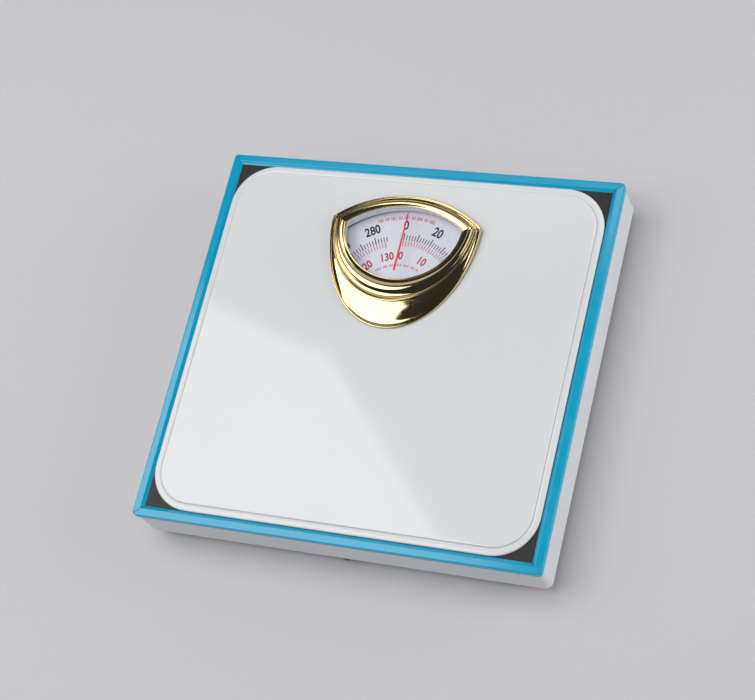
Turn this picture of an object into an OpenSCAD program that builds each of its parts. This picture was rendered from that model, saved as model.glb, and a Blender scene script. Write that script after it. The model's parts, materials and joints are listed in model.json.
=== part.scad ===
// Mechanical dial platform scale for people, with its lever mechanism.
// +X is to the user's right, +Y points away from the user, towards the dial, and +Z is up.
// The origin is on the floor, under the middle of the platform.

/* [Platform] */
// Width of the platform over the trim frame
platform_w = 280; // [270:1:300]
// Depth of the platform over the trim frame
platform_d = 266; // [260:1:290]
// Height of the trim frame's lower face above the floor
trim_z = 41.5; // [41:0.5:44]
// Width of the trim frame seen from above
trim_w = 7.2; // [6:0.1:9]
// Height of the skirt's lower edge above the floor
skirt_z = 12.5; // [11:0.5:16]
// Thickness of the skirt's wall
skirt_t = 2.2; // [1.6:0.1:3]
// Thickness of the pressed platform pan
pan_t = 1.2; // [1:0.1:1.5]
// Corner radius of the tread plate
tread_r = 29; // [20:1:40]
// Width of the tread plate's lower border band
band_w = 4.8; // [4:0.1:7]
// Height of the tread plate's border band
band_h = 1.7; // [1.2:0.1:2]
// Height of the raised panel above the border band
panel_h = 1.0; // [0.6:0.1:1.4]

/* [Bezel] */
// Half width of the bezel at its two tips
bezel_tip = 52.5; // [50:0.5:55]
// Distance of the bezel's tips behind the middle of the platform
bezel_tip_y = 89.5; // [88:0.5:92]
// Distance of the bezel's near point behind the middle of the platform
bezel_low_y = 14.3; // [12:0.1:20]
// Distance of the bezel's far point behind the middle of the platform
bezel_top_y = 108.7; // [107:0.1:110]
// Height of the bezel above the raised panel
bezel_h = 7.3; // [6.5:0.1:9]

/* [Dial] */
// Radius of the dial disc
dial_r = 67; // [60:0.5:68]
// Distance of the dial's axis behind the middle of the platform
dial_y = 35; // [34:0.5:36]
// Height of the dial's printed face
dial_z = 39; // [38.6:0.1:39]
// Thickness of the dial disc
dial_t = 0.8; // [0.6:0.1:1]

/* [Levers] */
// Half spacing of the four bearing points across the platform
post_x = 108; // [105:1:110]
// Distance of the fulcrum pins from the middle line
fulcrum_y = 104; // [102:1:106]
// Lever arm from a fulcrum pin to its load pin
load_arm = 16; // [15:0.5:18]
// Height of the fulcrum and load pins
pin_z = 21; // [20.5:0.5:21.5]
// Radius of the lever pins
pin_r = 2; // [1.5:0.1:2.2]

/* [Mechanism] */
// Arm of the crank that rests on the calibration plate
crank_low_arm = 11.7; // [11.5:0.1:12]
// Arm of the crank that moves the rack
crank_high_arm = 18; // [17.5:0.1:18.5]
// Crank angle at rest, back from its middle position
crank_lean = 23.5; // [22:0.5:24]
// Module of the dial pinion and rack
gear_module = 0.4; // [0.4:0.1:0.4]
// Number of teeth on the dial pinion
pinion_teeth = 12; // [12:1:12]
// Radius of the zero adjusting wheel
wheel_r = 6; // [5:0.5:6.5]

/* [Base] */
// Width of the base tray
tray_w = 271; // [268:1:272]
// Depth of the base tray
tray_d = 257; // [254:1:258]
// Height of the tray's rim above the floor
tray_top = 19; // [16:0.5:20]
// Thickness of the tray's sheet
tray_t = 1.2; // [1:0.1:1.2]
// Height of the rubber feet
foot_h = 5.5; // [5:0.1:5.5]
// Radius of the rubber feet
foot_r = 11; // [9:0.5:11]

/* [Hidden] */
$fn = 48;

eps = 0.01;
overlap = 0.5;

// Colours
white = [0.93, 0.94, 0.95];
cyan = [0.02, 0.62, 0.79];
charcoal = [0.16, 0.16, 0.18];
gold = [0.83, 0.66, 0.28];
steel = [0.72, 0.74, 0.76];
dark_steel = [0.45, 0.47, 0.50];
rubber = [0.12, 0.12, 0.13];
brass = [0.78, 0.62, 0.32];
clear = [0.85, 0.92, 0.95, 0.35];
red = [0.85, 0.10, 0.12];

// Heights of the platform's sheets
pan_z = trim_z - pan_t;
band_z = trim_z + band_h;
panel_z = band_z + panel_h;
ledge_t = 1.2;
ledge_z = pan_z - ledge_t;
rebate_z = trim_z - 3;
lip_h = 2;

// The skirt and the pan inside it
skirt_w = platform_w - 0.8;
skirt_d = platform_d - 0.8;
neck_w = platform_w - 3.4;
neck_d = platform_d - 3.4;
neck_t = 1.7;
pan_gap = 0.2;
pan_w = neck_w - 2 * neck_t - 2 * pan_gap;
pan_d = neck_d - 2 * neck_t - 2 * pan_gap;
ledge_in_w = 254;
ledge_in_d = 240;
skirt_r = 5;

// The trim frame's section
trim_bevel = 2.2;
trim_edge = 1.2;
trim_crown = 1.5;
trim_side_h = 0.6;
trim_inner_h = 0.4;
trim_leg_t = 1.6;
trim_corner = 3;
tread_gap = 0.4;
tread_w = platform_w - 2 * trim_w - 2 * tread_gap;
tread_d = platform_d - 2 * trim_w - 2 * tread_gap;

// The window through the bezel, and how the pieces below it widen
window_tip = 40.5;
window_tip_y = 86;
window_low_y = 47.6;
window_top_y = 99.8;
shroud_gap = 1.2;
shroud_t = 1.2;
lens_t = 1.2;
lens_z = 48.9;
bezel_top_z = panel_z + bezel_h;
// Depth of the recess in the tread that the bezel's edge sits in
bezel_seat = 0.6;
bezel_play = 0.15;
clip_posts = [[48.5, 88], [22, 103.2], [-22, 103.2], [-48.5, 88]];
post_r = 1.5;
clip_r = 3.2;
clip_t = 0.8;
locator_y = 28;

// The pointer
pointer_low_y = 54.3;
pointer_high_y = 97;
pointer_t = 0.6;

// The base tray and what is riveted to it
floor_z = foot_h + tray_t;
foot_x = 122;
foot_y = 116;
stem_r = 3;
stud_h = 1.4;
rivet_r = 1.6;
rivet_head_r = 2.8;
rivet_head_h = 1.1;
flange_t = 1.5;
flange_z = floor_z + flange_t;

// The lever bearings
cheek_in = 4.5;
cheek_t = 2;
post_top = pin_z + 3;
post_half = 5;
flange_half_x = 8;
flange_half_y = 7;
bearing_gap = 0.08;
lever_pin_len = 16;
hanger_low = pin_z - 3;
load_y = fulcrum_y - load_arm;

// The levers
lever_t = 3;
block_t = 4;
block_out = 6;
block_in = 8;
long_low = 22;
long_high = 30;
bar_high = 29.5;
short_low = 14.5;
short_high = 20.5;
short_block_high = 27;
nose_x = 5;
nose_y = -95;
nose_pin_r = 1.5;
bend_y = load_y - 4;
nose_bend_y = -90;
link_x = post_x - (post_x - nose_x) * bend_y / (bend_y - nose_bend_y);

// The calibration plate, the main spring and its carrier
plate_z = 17;
plate_t = 1.5;
plate_top = plate_z + plate_t;
plate_half = 9;
guide_half = 16.2;
spring_y = -108;
spring_r = 5.9;
wire_r = 1.1;
plug_r = 4.7;
plug_h = 4.5;
carrier_z = 33;
carrier_t = 1.5;
spring_turns = 5;
wheel_y = -126.3;
wheel_z = 5.6;
wheel_h = 5.8;
screw_r = 2;
bracket_top = 36.5;
bracket_cheek = 16.5;
shelf_z = 13;

// The crank, on its pivot behind the calibration plate
contact_gap = 0.3;
roller_r = 1.2;
crank_y = -80;
crank_z = plate_top + contact_gap + roller_r - crank_low_arm * sin(crank_lean);
crank_pin_r = 1.5;
crank_hub_r = 3.5;
crank_half = 3;
crank_cheek = 3.5;
crank_cheek_t = 1.2;
high_pin_y = crank_y + crank_high_arm * sin(crank_lean);

// The rack and pinion
pitch_r = gear_module * pinion_teeth / 2;
tooth_pitch = PI * gear_module;
backlash = 0.08;
pressure_angle = 20;
rack_z = 30;
rack_t = 2.5;
rack_back = -6.6;
rack_root = -pitch_r - 1.25 * gear_module;
rack_tip = 0.25;
rack_end = 53;
rack_teeth = 18;
lug_y = 15;
guide_y = -40;
spring_line_x = -10.6;
rack_spring_r = 2.2;
rack_wire_r = 0.35;
rack_spring_turns = 22;

// The dial's shaft and its bracket
shaft_r = 1.5;
bush_r = 4;
running_gap = 0.05;
mid_plate_z = 25;
top_plate_z = 34;
dial_leg_x = 22;
dial_leg_t = 1.5;
dial_leg_half = 9;

// ---- Shapes used more than once ----

// A rectangle with round corners, centred on the origin
module rounded(w, d, r) {
    square([w - 2 * r, d], center = true);
    square([w, d - 2 * r], center = true);
    for (sx = [-1, 1], sy = [-1, 1])
        translate([sx * (w / 2 - r), sy * (d / 2 - r)]) circle(r, $fn = 64);
}

// A rounded rectangular plate
module slab(w, d, r, z, h) {
    translate([0, 0, z]) linear_extrude(h) rounded(w, d, r);
}

// A rounded rectangular wall with thickness t
module wall(w, d, r, t, z, h) {
    difference() {
        slab(w, d, r, z, h);
        slab(w - 2 * t, d - 2 * t, max(r - t, 1), z - 1, h + 2);
    }
}

// A box given by its two corners
module block(low, high) {
    translate(low) cube(high - low);
}

// An upright cylinder
module post(x, y, z, r, h) {
    translate([x, y, z]) cylinder(r = r, h = h);
}

// A cylinder along X
module bar_x(x, y, z, r, length) {
    translate([x, y, z]) rotate([0, 90, 0]) cylinder(r = r, h = length);
}

// The bezel's shield outline: a half ellipse below its tips and an arc above them
function shield(tip, tip_y, low_y, top_y, steps = 40) =
    let (rise = top_y - tip_y, arc_r = (tip * tip + rise * rise) / (2 * rise), half = asin(tip / arc_r))
    concat(
        [for (i = [0:steps]) let (a = -180 * i / steps) [tip * cos(a), tip_y + (tip_y - low_y) * sin(a)]],
        [for (i = [1:steps - 1]) let (a = -half + 2 * half * i / steps)
            [arc_r * sin(a), top_y - arc_r + arc_r * cos(a)]]
    );

// The window's outline, widened by grow
module window_shape(grow) {
    polygon(shield(window_tip + 1.75 * grow, window_tip_y, window_low_y - grow, window_top_y + grow));
}

// A solid of the window's outline
module window_block(grow, z, h) {
    translate([0, 0, z]) linear_extrude(h) window_shape(grow);
}

// A tube swept along a list of points, with flat ends
module tube(path, r, sides) {
    n = len(path);
    rings = [for (i = [0:n - 1])
        let (
            ahead = path[min(i + 1, n - 1)] - path[max(i - 1, 0)],
            along = ahead / norm(ahead),
            side = cross(along, [0.0123, 0.9871, 0.1587]),
            u = side / norm(side),
            v = cross(along, u)
        )
        for (k = [0:sides - 1]) path[i] + r * (cos(360 * k / sides) * u + sin(360 * k / sides) * v)];
    faces = concat(
        [[for (k = [0:sides - 1]) k]],
        [for (i = [0:n - 2], k = [0:sides - 1], half = [0, 1])
            let (a = i * sides + k, b = i * sides + (k + 1) % sides)
            half == 0 ? [a, a + sides, b + sides] : [a, b + sides, b]],
        [[for (k = [sides - 1:-1:0]) (n - 1) * sides + k]]
    );
    polyhedron(rings, faces, convexity = 6);
}

// A coil around +Z from z0 to z1
function coil(r, turns, z0, z1, per_turn = 14) =
    [for (i = [0:turns * per_turn])
        let (
            s = i / (turns * per_turn),
            a = 360 * turns * s
        )
        [r * cos(a), r * sin(a), z0 + (z1 - z0) * s]];

// ---- Base ----

module base_tray() color(steel) difference() {
    union() {
        slab(tray_w, tray_d, 6, foot_h, tray_t);
        wall(tray_w, tray_d, 6, tray_t, foot_h, tray_top - foot_h);
        // Stiffening beads pressed down from the floor
        for (sy = [-1, 1]) translate([0, sy * 66, foot_h - 0.7]) linear_extrude(0.8) rounded(190, 10, 4.9);
        for (sx = [-1, 1]) translate([sx * 88, 0, foot_h - 0.7]) linear_extrude(0.8) rounded(10, 100, 4.9);
    }
    for (x = [-foot_x, foot_x], y = [-foot_y, foot_y]) post(x, y, foot_h - 1, stem_r, tray_t + 2);
    for (p = rivet_spots) post(p.x, p.y, foot_h - 1, rivet_r, tray_t + 2);
    // Opening for the zero adjusting wheel
    block([-8, -tray_d / 2 - 1, foot_h - 1], [8, -118, tray_top + 1]);
}

module foot(x, y) color(rubber) {
    difference() {
        union() {
            post(x, y, 0.8, foot_r, foot_h - 0.8);
            post(x, y, 0, foot_r - 0.8, 1);
        }
        // Shallow cup in the tread of the foot
        post(x, y, -1, foot_r - 5, 2);
    }
    post(x, y, foot_h - 1, stem_r, tray_t + 2);
    post(x, y, floor_z, stem_r + 1.6, stud_h);
}

module foot_front_left() foot(-foot_x, -foot_y);
module foot_front_right() foot(foot_x, -foot_y);
module foot_rear_left() foot(-foot_x, foot_y);
module foot_rear_right() foot(foot_x, foot_y);

// A bracket with two cheeks, whose notches hold a fulcrum pin
module fulcrum_post(x, y) color(dark_steel) translate([x, y, 0]) difference() {
    union() {
        block([-flange_half_x, -flange_half_y, floor_z], [flange_half_x, flange_half_y, flange_z]);
        for (s = [-1, 1])
            translate([s * (cheek_in + cheek_t / 2), 0, (floor_z + post_top) / 2])
                cube([cheek_t, 2 * post_half, post_top - floor_z], center = true);
    }
    bar_x(-10, 0, pin_z, pin_r + bearing_gap, 20);
    block([-10, -pin_r - bearing_gap, pin_z], [10, pin_r + bearing_gap, post_top + 1]);
    for (s = [-1, 1]) post(0, s * 3.6, floor_z - 1, rivet_r, flange_t + 2);
}

module fulcrum_post_front_left() fulcrum_post(-post_x, -fulcrum_y);
module fulcrum_post_front_right() fulcrum_post(post_x, -fulcrum_y);
module fulcrum_post_rear_left() fulcrum_post(-post_x, fulcrum_y);
module fulcrum_post_rear_right() fulcrum_post(post_x, fulcrum_y);

// The frame around the main spring, which also holds the zero screw
module spring_bracket() color(dark_steel) difference() {
    union() {
        block([-18, -129.5, bracket_top], [18, -98, bracket_top + carrier_t]);
        for (s = [-1, 1]) {
            block(
                [min(s * bracket_cheek, s * 18), -126, floor_z],
                [max(s * bracket_cheek, s * 18), -98, bracket_top]
            );
            block([min(s * 17, s * 26), -126, floor_z], [max(s * 17, s * 26), -98, flange_z]);
        }
        block([-bracket_cheek - 0.5, -126.5, shelf_z], [bracket_cheek + 0.5, -120.5, shelf_z + carrier_t]);
        block([-5.5, -129.5, shelf_z], [5.5, -121, shelf_z + carrier_t]);
    }
    post(0, wheel_y, shelf_z - 1, screw_r + running_gap, 40);
    for (s = [-1, 1], y = [-120, -104]) post(s * 22, y, floor_z - 1, rivet_r, flange_t + 2);
}

module crank_bracket() color(dark_steel) difference() {
    union() {
        block([-12, crank_y - 4, floor_z], [12, crank_y + 4, flange_z]);
        for (s = [-1, 1])
            translate([s * (crank_cheek + crank_cheek_t / 2), crank_y, (floor_z + crank_z + 4) / 2])
                cube([crank_cheek_t, 8, crank_z + 4 - floor_z], center = true);
    }
    bar_x(-6, crank_y, crank_z, crank_pin_r, 12);
    for (s = [-1, 1]) post(s * 8.9, crank_y, floor_z - 1, rivet_r, flange_t + 2);
}

module crank_pin() color(steel) {
    bar_x(-5.8, crank_y, crank_z, crank_pin_r, 11.6);
    for (s = [-1, 1]) bar_x(s > 0 ? 4.8 : -6, crank_y, crank_z, 2.3, 1.2);
}

// The bridge that carries the dial's shaft
module dial_bracket() color(steel) difference() {
    union() {
        for (s = [-1, 1]) {
            leg = min(s * dial_leg_x, s * (dial_leg_x + dial_leg_t));
            block([leg, dial_y - dial_leg_half, floor_z],
                [leg + dial_leg_t, dial_y + dial_leg_half, top_plate_z + tray_t]);
            foot_low = min(s * (dial_leg_x + 1), s * 34);
            block([foot_low, dial_y - dial_leg_half, floor_z],
                [foot_low + 33 - dial_leg_x, dial_y + dial_leg_half, flange_z]);
        }
        for (z = [mid_plate_z, top_plate_z])
            block([-dial_leg_x - overlap, dial_y - dial_leg_half, z],
                [dial_leg_x + overlap, dial_y + dial_leg_half, z + tray_t]);
    }
    post(0, dial_y, mid_plate_z - 1, bush_r - 1, 15);
    for (s = [-1, 1], dy = [-5, 5]) post(s * 29, dial_y + dy, floor_z - 1, rivet_r, flange_t + 2);
}

// Flanged bushes pressed into the bridge
module dial_bushes() color(brass) for (z = [mid_plate_z, top_plate_z]) difference() {
    union() {
        post(0, dial_y, z - 1, bush_r - 1, 1 + tray_t);
        post(0, dial_y, z == mid_plate_z ? z + tray_t : z - 0.8, bush_r, z == mid_plate_z ? 1 : 0.8);
    }
    post(0, dial_y, z - 3, shaft_r + running_gap, 8);
}

module rack_guide() color(dark_steel) difference() {
    union() {
        block([-13.5, guide_y - 1.5, floor_z], [1, guide_y + 1.5, rack_z + 6]);
        block([-13.5, guide_y - 8, floor_z], [1, guide_y + 8, flange_z]);
    }
    block(
        [rack_back - 0.15, guide_y - 3, rack_z - 0.15],
        [rack_root + 0.15, guide_y + 3, rack_z + rack_t + 0.15]
    );
    translate([spring_line_x, guide_y + 3, rack_z + rack_t / 2]) rotate([90, 0, 0]) cylinder(r = 0.6, h = 6);
    for (s = [-1, 1]) post(-6, guide_y + s * 5, floor_z - 1, rivet_r, flange_t + 2);
}

// Where rivets pass through the tray
rivet_spots = concat(
    [for (x = [-post_x, post_x], y = [-fulcrum_y, fulcrum_y], s = [-1, 1]) [x, y + s * 3.6]],
    [for (x = [-22, 22], y = [-120, -104]) [x, y]],
    [for (x = [-8.9, 8.9]) [x, crank_y]],
    [for (x = [-29, 29], dy = [-5, 5]) [x, dial_y + dy]],
    [for (s = [-1, 1]) [-6, guide_y + s * 5]]
);

module base_rivets() color(steel) for (p = rivet_spots) {
    post(p.x, p.y, foot_h, rivet_r, flange_z - foot_h + 0.2);
    post(p.x, p.y, flange_z, rivet_head_r, rivet_head_h);
    post(p.x, p.y, foot_h - rivet_head_h / 2, rivet_head_r, rivet_head_h / 2);
}

// ---- Platform ----

module skirt() color(white) difference() {
    union() {
        wall(skirt_w, skirt_d, skirt_r, skirt_t, skirt_z, rebate_z - skirt_z);
        wall(platform_w, platform_d, skirt_r + 0.4, skirt_t, skirt_z, lip_h);
        wall(neck_w, neck_d, skirt_r - 1, neck_t, rebate_z - overlap, trim_z - rebate_z + overlap);
        wall(neck_w - 2, neck_d - 2, skirt_r - 1.5, (neck_w - 2 - ledge_in_w) / 2, ledge_z, ledge_t);
    }
    for (p = screw_spots) post(p.x, p.y, ledge_z - 1, 1.3, 4);
    // Notch in the ledge above the head of the zero screw
    block([-22, -neck_d / 2 + neck_t, ledge_z - 1], [22, -ledge_in_d / 2 + 1, pan_z]);
}

// Where the skirt's ledge is screwed to the pan
screw_spots = concat(
    [for (x = [-130.5, 130.5], y = [-70, 0, 70]) [x, y]],
    [for (x = [-80, 80], y = [-123.5, 123.5]) [x, y]]
);

module skirt_screws() color(steel) for (p = screw_spots) {
    post(p.x, p.y, ledge_z, 1.3, ledge_t + 0.9);
    post(p.x, p.y, ledge_z - 1.2, 2.4, 1.2);
}

// One side of the trim frame, along X, whose ends are mitred at 45 degrees
module trim_side(length, depth) {
    outer = depth / 2;
    intersection() {
        translate([-length / 2, 0, 0]) rotate([90, 0, 90]) linear_extrude(length) polygon([
            [-outer, rebate_z],
            [-outer, trim_z + trim_side_h],
            [-outer + trim_edge, trim_z + trim_crown],
            [-outer + trim_w - trim_bevel, trim_z + trim_crown],
            [-outer + trim_w, trim_z + trim_inner_h],
            [-outer + trim_w, trim_z],
            [-outer + trim_leg_t, trim_z],
            [-outer + trim_leg_t, rebate_z]
        ]);
        linear_extrude(trim_z + 10) polygon([
            [-length / 2, -outer],
            [length / 2, -outer],
            [length / 2 - 2 * trim_w, -outer + 2 * trim_w],
            [-length / 2 + 2 * trim_w, -outer + 2 * trim_w]
        ]);
    }
}

module trim_frame() color(cyan) intersection() {
    union() for (a = [0, 180]) {
        rotate([0, 0, a]) trim_side(platform_w, platform_d);
        rotate([0, 0, a + 90]) trim_side(platform_d, platform_w);
    }
    slab(platform_w, platform_d, trim_corner, rebate_z - 1, 10);
}

module platform_pan() color(charcoal) difference() {
    slab(pan_w, pan_d, skirt_r - 2, pan_z, pan_t);
    window_block(shroud_gap + shroud_t + 0.3, pan_z - 1, pan_t + 2);
    for (p = clip_posts) post(p.x, p.y, pan_z - 1, post_r + 0.1, pan_t + 2);
    for (p = screw_spots) post(p.x, p.y, pan_z - 1, 1.3, 1.9);
    for (p = hanger_rivet_spots) post(p.x, p.y, pan_z - 1, rivet_r, pan_t + 2);
}

module tread_plate() color(white) difference() {
    union() {
        slab(tread_w, tread_d, tread_r, trim_z, band_h);
        slab(tread_w - 2 * band_w, tread_d - 2 * band_w, tread_r - band_w, trim_z, band_h + panel_h);
    }
    window_block(shroud_gap + shroud_t + 0.3, trim_z - 1, 6);
    // Recess that the bezel's edge sits in
    translate([0, 0, panel_z - bezel_seat]) linear_extrude(bezel_seat + 1)
        polygon(shield(
            bezel_tip + bezel_play,
            bezel_tip_y,
            bezel_low_y - bezel_play,
            bezel_top_y + bezel_play
        ));
    for (p = clip_posts) post(p.x, p.y, trim_z - 1, post_r + 0.1, 6);
    post(0, locator_y, trim_z - 1, post_r + 0.1, 6);
}

// Steps of the bezel: how far each layer's near edge is from the outline, and its lower height
bezel_layers = [[0, -bezel_seat], [7, 1.5], [14, 3], [20, 4.5]];

module bezel() color(gold) {
    difference() {
        union() for (i = [0:len(bezel_layers) - 1]) {
            inset = bezel_layers[i][0];
            low = bezel_layers[i][1];
            high = i == len(bezel_layers) - 1 ? bezel_h : bezel_layers[i + 1][1];
            narrow = inset / 20;
            translate([0, 0, panel_z + low]) linear_extrude(high - low)
                polygon(shield(bezel_tip - narrow, bezel_tip_y, bezel_low_y + inset, bezel_top_y - narrow));
        }
        window_block(0, lens_z - 1, 10);
        window_block(shroud_gap + shroud_t + 0.1, panel_z - 2, lens_z + lens_t - panel_z + 2);
    }
    for (p = clip_posts) post(p.x, p.y, pan_z - 1.4, post_r, panel_z - pan_z + 2.4);
    post(0, locator_y, trim_z, post_r, panel_h + band_h + 1);
}

// Push-on clips under the pan
module bezel_clips() color(steel) for (p = clip_posts) difference() {
    post(p.x, p.y, pan_z - clip_t, clip_r, clip_t);
    post(p.x, p.y, pan_z - 2, post_r, 4);
}

module lens() color(clear) window_block(shroud_gap + shroud_t, lens_z, lens_t);

module window_shroud() color(white) difference() {
    window_block(shroud_gap + shroud_t, pan_z, lens_z - pan_z);
    window_block(shroud_gap, pan_z - 1, lens_z - pan_z + 2);
}

module pointer() color(red) translate([0, 0, lens_z - pointer_t]) linear_extrude(pointer_t) polygon([
    [-0.75, pointer_low_y],
    [0.75, pointer_low_y],
    [0.45, pointer_high_y - 2],
    [0, pointer_high_y],
    [-0.45, pointer_high_y - 2]
]);

hanger_rivet_spots = [for (x = [-post_x, post_x], y = [-load_y, load_y], s = [-1, 1]) [x, y + s * 3.6]];

// A bracket under the pan, whose notches press on a load pin
module hanger(x, y) color(dark_steel) translate([x, y, 0]) difference() {
    union() {
        block([-flange_half_x, -post_half - 1, pan_z - flange_t], [flange_half_x, post_half + 1, pan_z]);
        for (s = [-1, 1])
            translate([s * (cheek_in + cheek_t / 2), 0, (hanger_low + pan_z) / 2])
                cube([cheek_t, 2 * post_half, pan_z - hanger_low], center = true);
    }
    bar_x(-10, 0, pin_z, pin_r + bearing_gap, 20);
    block([-10, -pin_r - bearing_gap, hanger_low - 1], [10, pin_r + bearing_gap, pin_z]);
    for (s = [-1, 1]) post(0, s * 3.6, pan_z - flange_t - 1, rivet_r, flange_t + 2);
}

module hanger_front_left() hanger(-post_x, -load_y);
module hanger_front_right() hanger(post_x, -load_y);
module hanger_rear_left() hanger(-post_x, load_y);
module hanger_rear_right() hanger(post_x, load_y);

module hanger_rivets() color(steel) for (p = hanger_rivet_spots) {
    post(p.x, p.y, pan_z - flange_t - 0.2, rivet_r, flange_t + pan_t + 0.2);
    post(p.x, p.y, pan_z - flange_t - rivet_head_h, rivet_head_r, rivet_head_h);
}

// ---- Levers ----

// A flat bar on edge between two points in plan
module strip(from, to, t, low, high) {
    run = to - from;
    translate([from.x, from.y, low]) rotate([0, 0, atan2(run.y, run.x)])
        translate([0, -t / 2, 0]) cube([norm(run), t, high - low]);
}

// The bearing end of a lever, with holes for its two pins; side is +1 at the rear, -1 at the front
module lever_block(side, high) {
    difference() {
        block([post_x - block_t / 2, min(side * (fulcrum_y + block_out), side * (load_y - block_in)), short_low],
            [post_x + block_t / 2, max(side * (fulcrum_y + block_out), side * (load_y - block_in)), high]);
        for (y = [fulcrum_y, load_y]) bar_x(post_x - 5, side * y, pin_z, pin_r, 10);
    }
}

module long_lever() {
    difference() {
        union() {
            lever_block(1, long_high);
            strip([post_x, bend_y], [nose_x, nose_bend_y], lever_t, long_low, bar_high);
            block([nose_x - 2, nose_y - 3, long_low], [nose_x + 2, nose_bend_y + 1, long_high]);
            block([nose_x - 2, nose_y - 3, nose_pin_z - 0.5], [nose_x + 2, nose_y + 3, long_low + 1]);
        }
        bar_x(0, nose_y, nose_pin_z, nose_pin_r, 10);
    }
}

nose_pin_z = plate_top + contact_gap + nose_pin_r;

module long_lever_left() color(dark_steel) mirror([1, 0, 0]) long_lever();
module long_lever_right() color(dark_steel) long_lever();

module long_lever_pins() color(steel) for (s = [-1, 1], y = [fulcrum_y, load_y])
    bar_x(s * post_x - lever_pin_len / 2, y, pin_z, pin_r, lever_pin_len);

// A strip under the two long levers that keeps them together
module lever_tie() color(dark_steel) block([-67, 8, long_low - 1.5], [67, 16, long_low]);

module nose_pin() color(steel) bar_x(-8, nose_y, nose_pin_z, nose_pin_r, 16);

// Loops that hang on the long levers and take the short levers' tips
module lever_stirrups() color(steel) for (s = [-1, 1]) translate([s * link_x, 0, 0]) difference() {
    block([-4.7, -1, short_low - 2.4], [4.7, 1, bar_high + 2]);
    block([-3.2, -2, short_low - 0.4], [3.2, 2, bar_high]);
}

module short_lever() {
    lever_block(-1, short_block_high);
    strip([post_x, -bend_y], [link_x - 1.5, 2.5], lever_t, short_low, short_high);
}

module short_lever_left() color(dark_steel) mirror([1, 0, 0]) short_lever();
module short_lever_right() color(dark_steel) short_lever();

module short_pins(s) color(steel) for (y = [fulcrum_y, load_y])
    bar_x(s * post_x - lever_pin_len / 2, -y, pin_z, pin_r, lever_pin_len);

module short_lever_left_pins() short_pins(-1);
module short_lever_right_pins() short_pins(1);

// ---- Calibration plate, main spring and zero adjustment ----

module calibration_plate() color(dark_steel) {
    block([-plate_half, -116, plate_z], [plate_half, -89.4, plate_top]);
    block([-guide_half, -112, plate_z], [guide_half, -104, plate_top]);
    post(0, spring_y, plate_z + eps, plug_r, plate_t + plug_h);
}

module main_spring() color(steel) translate([0, spring_y, 0])
    tube(coil(spring_r, spring_turns, plate_top + wire_r + 0.1, carrier_z - wire_r - 0.1), wire_r, 10);

module spring_carrier() color(dark_steel) difference() {
    union() {
        block([-plate_half, -129.5, carrier_z], [plate_half, -100, carrier_z + carrier_t]);
        block([-guide_half, -112, carrier_z], [guide_half, -104, carrier_z + carrier_t]);
        post(0, spring_y, carrier_z - plug_h, plug_r, plug_h + eps);
        post(0, wheel_y + 0.6, carrier_z - 2, 3.9, 4.6);
    }
    post(0, wheel_y, carrier_z - 5, screw_r + 0.1, 12);
}

module zero_screw() color(steel) {
    post(0, wheel_y, wheel_z + wheel_h - overlap, screw_r, bracket_top + 2.1 - wheel_z - wheel_h + overlap);
    post(0, wheel_y, bracket_top + carrier_t + 0.1, 3, 0.6);
}

module thumbwheel() color(charcoal) difference() {
    union() {
        post(0, wheel_y, wheel_z, wheel_r, wheel_h);
        post(0, wheel_y, wheel_z, 3, wheel_h + 0.8);
    }
    post(0, wheel_y, wheel_z + wheel_h - overlap, screw_r, 3);
    // Finger grooves round the rim
    for (i = [0:17]) rotate_about_wheel(i * 20) post(wheel_r + 0.25, 0, wheel_z - 1, 0.6, wheel_h + 2);
}

module rotate_about_wheel(a) translate([0, wheel_y, 0]) rotate([0, 0, a]) children();

// ---- Crank and rack ----

// Places children, drawn with the pivot at the origin, at the crank's resting angle
module crank_place() translate([0, crank_y, crank_z]) rotate([-crank_lean, 0, 0]) children();

module crank() color(brass) crank_place() difference() {
    union() {
        bar_x(-crank_half, 0, 0, crank_hub_r, 2 * crank_half);
        block([-1.5, -crank_low_arm, -0.4], [1.5, 0, 1.3]);
        block([-1.5, -1.5, 0], [1.5, 1.5, crank_high_arm]);
        bar_x(-1.5, -crank_low_arm, 0, roller_r + 0.1, 3);
        bar_x(-1.5, 0, crank_high_arm, 1.5, 3);
    }
    bar_x(-5, 0, 0, crank_pin_r + 0.06, 10);
    bar_x(-5, -crank_low_arm, 0, 0.7, 10);
    bar_x(-5, 0, crank_high_arm, 0.7, 10);
}

module crank_rollers() color(steel) crank_place() {
    bar_x(-1.6, -crank_low_arm, 0, 0.7, 3.2);
    for (x = [-3, 1.5]) bar_x(x, -crank_low_arm, 0, roller_r, 1.5);
    bar_x(-7.2, 0, crank_high_arm, 0.7, 8.7);
    bar_x(-7.2, 0, crank_high_arm, roller_r, 5.7);
}

// A rack tooth, pointing to +X from the pitch line at the origin
module rack_tooth() {
    slope = tan(pressure_angle);
    half = tooth_pitch / 4 - backlash / 2;
    root = 1.25 * gear_module;
    polygon([
        [-root - 0.2, half + root * slope],
        [-root, half + root * slope],
        [rack_tip, half - rack_tip * slope],
        [rack_tip, -half + rack_tip * slope],
        [-root, -half - root * slope],
        [-root - 0.2, -half - root * slope]
    ]);
}

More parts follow.
